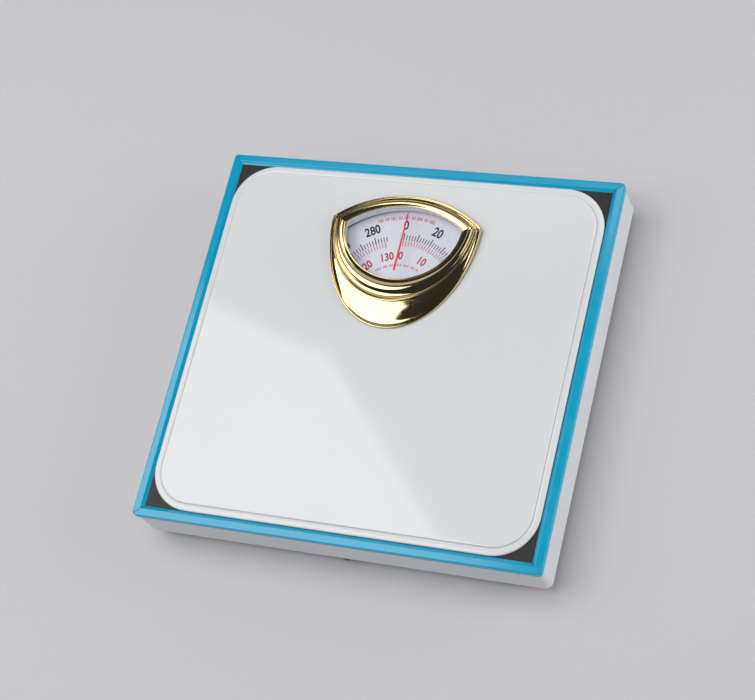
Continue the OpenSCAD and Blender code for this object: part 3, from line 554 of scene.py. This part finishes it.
def build_bezel():
    """The gold surround, lofted from its pointed outline to the window's edge."""
    # low y, heights at the near side, the tips and the far side, tip x, tip y, top y
    sections = [
        (14.4, 43.65, 43.65, 43.65, 52.4, 89.5, 108.6),
        (14.3, 44.40, 46.60, 46.60, 52.5, 89.5, 108.7),
        (14.3, 44.90, 48.10, 48.45, 52.5, 89.5, 108.7),
        (14.45, 45.22, 48.50, 48.95, 52.35, 89.5, 108.55),
        (14.85, 45.42, 48.78, 49.30, 52.0, 89.5, 108.2),
        (15.35, 45.40, 48.75, 49.25, 51.65, 89.5, 107.8),
        (15.75, 45.22, 48.55, 49.00, 51.4, 89.5, 107.5),
        (16.05, 45.05, 48.35, 48.80, 51.2, 89.5, 107.3),
        (19.5, 46.45, 48.30, 48.75, 51.0, 89.45, 107.15),
        (24.0, 47.85, 48.35, 48.72, 50.8, 89.4, 107.0),
        (28.0, 48.68, 48.45, 48.72, 50.6, 89.35, 106.85),
        (31.2, 48.98, 48.55, 48.75, 50.4, 89.3, 106.7),
        (31.6, 49.05, 48.65, 48.78, 50.3, 89.3, 106.6),
        (31.95, 49.42, 49.15, 48.80, 50.1, 89.25, 106.5),
        (32.4, 49.60, 49.45, 48.85, 49.85, 89.2, 106.35),
        (32.9, 49.48, 49.40, 48.90, 49.55, 89.15, 106.15),
        (33.3, 49.15, 49.05, 48.95, 49.3, 89.1, 105.95),
        (34.2, 48.85, 48.80, 49.10, 48.95, 89.0, 105.6),
        (35.6, 48.80, 48.85, 49.30, 48.6, 88.9, 105.2),
        (36.9, 49.02, 49.15, 49.60, 48.25, 88.8, 104.85),
        (37.6, 49.45, 49.60, 49.98, 48.05, 88.75, 104.6),
        (38.0, 49.95, 50.10, 50.40, 47.85, 88.7, 104.4),
        (38.5, 50.50, 50.60, 50.78, 47.55, 88.6, 104.1),
        (39.0, 50.88, 50.94, 51.04, 47.25, 88.5, 103.8),
        (39.5, 51.12, 51.15, 51.20, 46.95, 88.35, 103.5),
        (40.2, 51.31, 51.32, 51.34, 46.5, 88.2, 103.2),
        (41.0, 51.41, 51.42, 51.42, 46.05, 88.05, 102.85),
        (42.2, 51.45, 51.46, 51.46, 45.3, 87.8, 102.4),
        (43.6, 51.38, 51.38, 51.38, 44.35, 87.45, 101.9),
        (44.7, 51.12, 51.12, 51.12, 43.5, 87.15, 101.4),
        (45.7, 50.72, 50.76, 50.78, 42.6, 86.8, 100.95),
        (46.4, 50.32, 50.45, 50.50, 41.9, 86.55, 100.55),
        (46.65, 50.25, 50.40, 50.42, 41.6, 86.45, 100.4),
        (46.85, 50.48, 50.58, 50.60, 41.35, 86.35, 100.25),
        (47.15, 50.58, 50.66, 50.68, 41.05, 86.2, 100.1),
        (47.45, 50.50, 50.56, 50.58, 40.7, 86.05, 99.9),
        (47.6, 50.30, 50.35, 50.35, 40.5, 86.0, 99.8),
        (47.6, 50.10, 50.10, 50.10, 40.5, 86.0, 99.8),
    ]
    rings = [
        shield(tip, tip_y, low_y, top_y, z, z_tip, z_top, steps=96)
        for low_y, z, z_tip, z_top, tip, tip_y, top_y in sections
    ]
    tip, tip_y, low_y, top_y = WINDOW_OUTLINE
    seat = 2.6
    under = (tip + WINDOW_TIP_STEP * seat, tip_y, low_y - seat, top_y + seat)
    rings.append(shield(*under, 50.1, steps=96))
    rings.append(shield(*under, 43.65, steps=96))
    points, faces = loft(rings)
    return make("bezel_smooth", points, faces, "gold_chrome", "platform", ["bezel"], sharp=60)


def build_shroud():
    """The white wall under the window, flared a little towards the dial."""
    play = 0.08
    low, high = corners("window_shroud")[0].z + play, LENS_LOW.z - play
    # How far the wall stands outside the window, and at what height, from the lens down and back up
    profile = [
        (1.2, high), (1.25, 47.0), (1.45, 44.0), (1.62, 41.5), (1.68, low + 0.22),
        (1.75, low), (2.4, low), (2.4, high),
    ]
    points, faces = loft([window(grow, z) for grow, z in profile])
    # The wall is the same white plastic as the skirt. It gets a paler copy of that plastic, which is painted
    # light that brightens a wall standing in shade.
    white = moulded("shroud_white_painted_light", (0.86, 0.875, 0.90), (0.82, 0.835, 0.865), 0.40, 900, 0.12)
    name = "window_shroud_flared"
    make(name, points, faces, "white_plastic", "platform", ["window_shroud"], material=white)


build_shroud()
build_trim()
build_skirt()
build_tread()
build_bezel()


# ---- Dial marks ----


def dial_spot(radius, angle):
    a = math.radians(90 - angle + DIAL_REST)
    return Vector((DIAL_CENTRE[0] + radius * math.cos(a), DIAL_CENTRE[1] + radius * math.sin(a), 0))


INK_LOW = DIAL_HIGH.z + 0.01
INK_HIGH = DIAL_HIGH.z + 0.05


class Marks:
    """Flat printed shapes on the dial, gathered in one mesh."""

    def __init__(self):
        self.points, self.faces = [], []

    def bar(self, angle, inner, outer, width):
        out = (dial_spot(outer, angle) - dial_spot(inner, angle)).normalized()
        side = Vector((-out.y, out.x, 0)) * width / 2
        a, b = dial_spot(inner, angle), dial_spot(outer, angle)
        start = len(self.points)
        for z in (INK_LOW, INK_HIGH):
            self.points += [tuple(p + Vector((0, 0, z))) for p in (a - side, a + side, b + side, b - side)]
        quads = ((0, 1, 2, 3), (7, 6, 5, 4), (0, 4, 5, 1), (1, 5, 6, 2), (2, 6, 7, 3), (3, 7, 4, 0))
        self.faces += [tuple(start + i for i in q) for q in quads]

    def figure(self, text, angle, radius, height, narrow, weight):
        curve = bpy.data.curves.new("figure", "FONT")
        curve.body = text
        curve.align_x = "CENTER"
        curve.size = 1.0
        curve.offset = weight
        curve.resolution_u = 4
        curve.extrude = 0.01
        holder = bpy.data.objects.new("figure", curve)
        SCENE.collection.objects.link(holder)
        bpy.context.view_layer.update()
        mesh = bpy.data.meshes.new_from_object(holder.evaluated_get(bpy.context.evaluated_depsgraph_get()))
        ys = [v.co.y for v in mesh.vertices]
        scale = height / (max(ys) - min(ys))
        middle = (max(ys) + min(ys)) / 2
        turn = Matrix.Rotation(math.radians(-angle + DIAL_REST), 4, "Z")
        spot = dial_spot(radius, angle)
        start = len(self.points)
        for v in mesh.vertices:
            flat = turn @ Vector((v.co.x * scale * narrow, (v.co.y - middle) * scale, 0))
            self.points.append((spot.x + flat.x, spot.y + flat.y, INK_HIGH if v.co.z > 0 else INK_LOW))
        self.faces += [tuple(start + i for i in f.vertices) for f in mesh.polygons]
        bpy.data.objects.remove(holder)
        bpy.data.meshes.remove(mesh)

    def done(self, name, material):
        return make(name, self.points, self.faces, "dial_face", "dial", sharp=20, material=material)


BLACK_INK = ink("black_ink", (0.030, 0.032, 0.042), (0.016, 0.017, 0.024))
BLUE_INK = ink("blue_ink", (0.020, 0.085, 0.230), (0.014, 0.060, 0.170))
RED_INK = ink("red_ink", (0.600, 0.014, 0.060), (0.520, 0.010, 0.045))
PINK_INK = ink("pink_ink", (0.700, 0.190, 0.250), (0.640, 0.150, 0.210))
POUNDS_ROUND = 300
DEGREES_A_POUND = 360 / POUNDS_ROUND
DEGREES_A_KILO = DEGREES_A_POUND * 2.20462
KILOS = 130
LAST_POUND = 288


def build_dial_marks():
    black, blue, pink = Marks(), Marks(), Marks()
    pounds, kilos, fine = Marks(), Marks(), Marks()
    # Ticks, longer at every tenth; the blue ones come in every fourth group
    for i in range(0, LAST_POUND + 1, 2):
        outer = 51.0 if i % 10 == 0 else 49.3
        width = 0.70 if i % 10 == 0 else 0.56
        (blue if i // 10 % 4 == 2 else black).bar(i * DEGREES_A_POUND, 45.6, outer, width)
    for i in range(0, LAST_POUND, 20):
        pounds.figure(str(i), i * DEGREES_A_POUND, 56.6, 6.9, 0.80, 0.028)
    for i in range(KILOS + 1):
        outer, inner = 45.2, 40.8 if i % 10 == 0 else 41.4
        pink.bar(i * DEGREES_A_KILO, inner, outer, 0.72 if i % 10 == 0 else 0.58)
    for i in range(0, KILOS + 1, 10):
        kilos.figure(str(i), i * DEGREES_A_KILO, 34.3, 5.9, 0.82, 0.024)
    # Groups of short dashes in place of small print
    for radius, size, half_span, step in ((62.0, 2.9, 19, 0.95), (27.4, 1.7, 34, 2.3)):
        for third in (0, 120, 240):
            for i in range(int(2 * half_span / step)):
                if i % 9 in (4, 8):
                    continue
                tall = size * random.uniform(0.75, 1.0)
                spot = third - half_span + i * step
                fine.bar(spot, radius - tall / 2, radius + tall / 2, random.uniform(0.45, 0.7))
    black.done("pound_ticks", BLACK_INK)
    blue.done("pound_ticks_blue", BLUE_INK)
    pounds.done("pound_figures", BLACK_INK)
    pink.done("kilo_ticks", PINK_INK)
    kilos.done("kilo_figures", RED_INK)
    fine.done("dial_dashes", PINK_INK)


build_dial_marks()


# ---- Parts kept as they are made, with broken edges ----


def soften(node, width=0.2, segments=2, angle=38):
    """A copy of a CAD node with small rounded edges, which stands for it."""
    mesh = frame["nodes"][node].data.copy()
    b = bmesh.new()
    b.from_mesh(mesh)
    bmesh.ops.remove_doubles(b, verts=b.verts, dist=0.002 * MM)
    bmesh.ops.dissolve_limit(b, angle_limit=math.radians(1.0), verts=b.verts, edges=b.edges)
    b.to_mesh(mesh)
    b.free()
    normals = mesh.attributes.get("custom_normal")
    if normals:
        mesh.attributes.remove(normals)
    holder = bpy.data.objects.new("soften", mesh)
    SCENE.collection.objects.link(holder)
    bevel = holder.modifiers.new("edges", "BEVEL")
    bevel.width = width * MM
    bevel.segments = segments
    bevel.limit_method = "ANGLE"
    bevel.angle_limit = math.radians(angle)
    bevel.use_clamp_overlap = True
    bpy.context.view_layer.update()
    made = bpy.data.meshes.new_from_object(holder.evaluated_get(bpy.context.evaluated_depsgraph_get()))
    bpy.data.objects.remove(holder)
    piece = finish_mesh(node + "_soft", made, SLOT_OF[node], BODY_OF[node], [node], sharp=50)
    # Large faces keep their own direction, so that they look flat
    flat = piece.modifiers.new("flat", "WEIGHTED_NORMAL")
    flat.keep_sharp = True
    flat.weight = 90
    bpy.context.view_layer.update()
    piece.data = bpy.data.meshes.new_from_object(piece.evaluated_get(bpy.context.evaluated_depsgraph_get()))
    piece.modifiers.clear()


CORNERS = ("front_left", "front_right", "rear_left", "rear_right")
for part in (
    [f"fulcrum_post_{c}" for c in CORNERS]
    + [f"hanger_{c}" for c in CORNERS]
    + ["spring_bracket", "crank_bracket", "dial_bracket", "rack_guide", "long_lever_left", "long_lever_right"]
    + ["short_lever_left", "short_lever_right", "lever_tie", "calibration_plate", "spring_carrier", "crank"]
    + ["thumbwheel", "pointer", "dial_hub", "base_tray"]
):
    soften(part)


def build_feet():
    """Turned rubber feet with a ring groove underneath."""
    groove = [(4.2, 0.0), (4.4, 0.5), (5.6, 0.5), (5.8, 0.0)]
    side = [
        (9.2, 0.0), (9.9, 0.15), (10.6, 0.7), (10.95, 1.6), (11.0, 3.2), (10.7, 4.6), (10.2, 5.3), (9.6, 5.5),
    ]
    profile = [(0.0, 0.0), *groove, *side, (0.0, 5.5)]
    for c in CORNERS:
        low, high = corners(f"foot_{c}")
        centre = ((low.x + high.x) / 2, (low.y + high.y) / 2)
        points, faces = lathe(profile, centre)
        make(f"foot_{c}_turned", points, faces, "rubber", "base", [f"foot_{c}"], sharp=45)


build_feet()


def wind(name, centre, axis, radius, wire, start, end, turns):
    """A spring of round wire along Z or Y from start to end, stretched between the base and a moving body.
    The centre is its place across the axis."""
    per_turn, sides = 28, 10
    # The end turns lie close together, as on a ground spring
    closing = 0.12
    lost = closing / 2
    steps = int(turns * per_turn)
    rings = []
    for i in range(steps + 1):
        t = i / steps
        ease = t
        if t <= closing:
            ease = t * t / (2 * closing) + lost
        elif t >= 1 - closing:
            ease = 1 - ((1 - t) ** 2 / (2 * closing) + lost)
        along = start + (end - start) * (ease - lost) / (1 - 2 * lost)
        a = 2 * math.pi * turns * t
        loop = []
        for k in range(sides):
            b = 2 * math.pi * k / sides
            r = radius + wire * math.cos(b)
            u, v, w = centre[0] + r * math.cos(a), centre[1] + r * math.sin(a), along + wire * math.sin(b)
            loop.append((u, v, w) if axis == "Z" else (u, w, v))
        rings.append(loop)
    points, faces = loft(rings, closed=False)
    faces += [tuple(range(sides)), tuple(range(steps * sides, (steps + 1) * sides))]
    mesh = bpy.data.meshes.new(name)
    mesh.from_pydata([Vector(p) * MM for p in points], [], faces)
    b = bmesh.new()
    b.from_mesh(mesh)
    bmesh.ops.recalc_face_normals(b, faces=b.faces)
    b.to_mesh(mesh)
    b.free()
    mesh.polygons.foreach_set("use_smooth", [True] * len(mesh.polygons))
    mesh.materials.append(MATERIALS["spring_steel"])
    piece = bpy.data.objects.new(name, mesh)
    SCENE.collection.objects.link(piece)
    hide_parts(name.removesuffix("_wound"))
    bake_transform(piece)


def build_springs():
    low, high = corners("main_spring")
    wire = 1.1
    centre = ((low.x + high.x) / 2, (low.y + high.y) / 2)
    top, foot = high.z - wire - CARRIER_PLAY, low.z + wire
    wind("main_spring_wound", centre, "Z", 5.9, wire, top, foot, 5)
    low, high = corners("rack_spring")
    wire = 0.35
    centre = ((low.x + high.x) / 2, (low.z + high.z) / 2)
    wind("rack_spring_wound", centre, "Y", 2.2, wire, low.y + wire, high.y - wire, 22)


build_springs()

for name, node in frame["nodes"].items():
    if not node.hide_render:
        node.data.materials.clear()
        node.data.materials.append(MATERIALS[SLOT_OF[name]])
        node.data.polygons.foreach_set("use_smooth", [True] * len(node.data.polygons))
        node.data.set_sharp_from_angle(angle=math.radians(34))


# ---- Floor, lights and camera ----

# What the lights point at, in metres
SUBJECT = Vector((0, 0, 0.03))
# The world's strength for soft light and in glossy reflections
ROOM_LIGHT = 0.34
ROOM_MIRRORED = 0.030


def build_floor():
    size = 6000.0
    points = [(-size, -size, 0), (size, -size, 0), (size, size, 0), (-size, size, 0)]
    mesh = bpy.data.meshes.new("floor")
    mesh.from_pydata([Vector(p) * MM for p in points], [], [(0, 1, 2, 3)])
    mesh.materials.append(floor_paint())
    floor = bpy.data.objects.new("floor", mesh)
    SCENE.collection.objects.link(floor)


def area_light(name, azimuth, elevation, distance, width, height, radiance, glossy=True, diffuse=True):
    """A softbox that faces the object. Azimuth is counterclockwise from +X; radiance is relative to white.
    It can be left out of glossy reflections or of diffuse light."""
    light = bpy.data.lights.new(name, "AREA")
    light.shape = "RECTANGLE"
    light.size, light.size_y = width, height
    light.energy = radiance * math.pi * width * height
    holder = bpy.data.objects.new(name, light)
    a, e = math.radians(azimuth), math.radians(elevation)
    towards = Vector((math.cos(e) * math.cos(a), math.cos(e) * math.sin(a), math.sin(e)))
    x = Vector((0, 0, 1)).cross(towards).normalized()
    basis = Matrix((x, towards.cross(x), towards)).transposed()
    holder.matrix_world = Matrix.Translation(SUBJECT + towards * distance) @ basis.to_4x4()
    holder.visible_glossy = glossy
    holder.visible_diffuse = diffuse
    SCENE.collection.objects.link(holder)


def octabox(name, centre, radius, radiance, corner):
    """An eight-sided softbox, as a glowing mesh that only glossy surfaces show.
    It faces the object, with one corner towards the given point."""
    z = (SUBJECT - centre).normalized()
    x = corner - centre
    x = (x - z * x.dot(z)).normalized()
    y = z.cross(x)
    turns = [math.radians(45 * i) for i in range(8)]
    mesh = bpy.data.meshes.new(name)
    rim = [centre + radius * (x * math.cos(t) + y * math.sin(t)) for t in turns]
    mesh.from_pydata(rim, [], [tuple(range(8))])
    glow = bpy.data.materials.new(name)
    glow.use_nodes = True
    glow.node_tree.nodes.remove(glow.node_tree.nodes["Principled BSDF"])
    lamp = glow.node_tree.nodes.new("ShaderNodeEmission")
    lamp.inputs["Strength"].default_value = radiance
    surface = glow.node_tree.nodes["Material Output"].inputs["Surface"]
    glow.node_tree.links.new(lamp.outputs["Emission"], surface)
    mesh.materials.append(glow)
    card = bpy.data.objects.new(name, mesh)
    card.visible_camera = card.visible_diffuse = card.visible_shadow = card.visible_transmission = False
    SCENE.collection.objects.link(card)


def build_lights():
    octabox("key_octabox", Vector((-0.764, -0.126, 1.017)), 0.63, 2.4, Vector((-0.509, 0.387, 1.104)))
    area_light("back_card", 117, 50, 1.6, 0.52, 0.56, 0.5, diffuse=False)
    area_light("top_card", 86, 53, 1.5, 0.55, 0.55, 1.7, diffuse=False)
    area_light("key", 189, 52, 1.25, 1.0, 1.0, 1.0, glossy=False)
    area_light("fill_top", 205, 82, 2.0, 1.7, 1.7, 1.80, glossy=False)
    area_light("fill_right", 16, 24, 1.8, 1.3, 0.8, 1.6)
    area_light("wall_right", 14, 6, 1.3, 1.3, 0.2, 5.5, glossy=False)
    world = bpy.data.worlds.new("studio")
    world.use_nodes = True
    nodes, links = world.node_tree.nodes, world.node_tree.links
    nodes["Background"].inputs["Color"].default_value = (0.97, 0.975, 1.0, 1)
    # The room is pale for soft light, and dim in mirror-like surfaces
    path = nodes.new("ShaderNodeLightPath")
    dim = nodes.new("ShaderNodeMapRange")
    dim.inputs["To Min"].default_value = ROOM_LIGHT
    dim.inputs["To Max"].default_value = ROOM_MIRRORED
    links.new(path.outputs["Is Glossy Ray"], dim.inputs["Value"])
    links.new(dim.outputs["Result"], nodes["Background"].inputs["Strength"])
    SCENE.world = world


def build_camera():
    """The camera at the photograph's angle. Azimuth is counterclockwise from -Y."""
    azimuth, elevation, roll = 48.2, 60.4, -37.87
    distance, aim = 1.33, Vector((0, 0, 0.042))
    a, e = math.radians(azimuth), math.radians(elevation)
    back = Vector((math.sin(a) * math.cos(e), -math.cos(a) * math.cos(e), math.sin(e)))
    level = (-back).cross(Vector((0, 0, 1))).normalized()
    lift = level.cross(-back)
    t = math.radians(roll)
    right = math.cos(t) * level + math.sin(t) * lift
    up = back.cross(right)
    data = bpy.data.cameras.new("camera")
    data.sensor_width = 36
    data.lens = 97.8
    camera = bpy.data.objects.new("camera", data)
    basis = Matrix((right, up, back)).transposed()
    camera.matrix_world = Matrix.Translation(aim + back * distance) @ basis.to_4x4()
    SCENE.collection.objects.link(camera)
    SCENE.camera = camera


build_floor()
build_lights()
build_camera()
SCENE.view_settings.view_transform = "Standard"
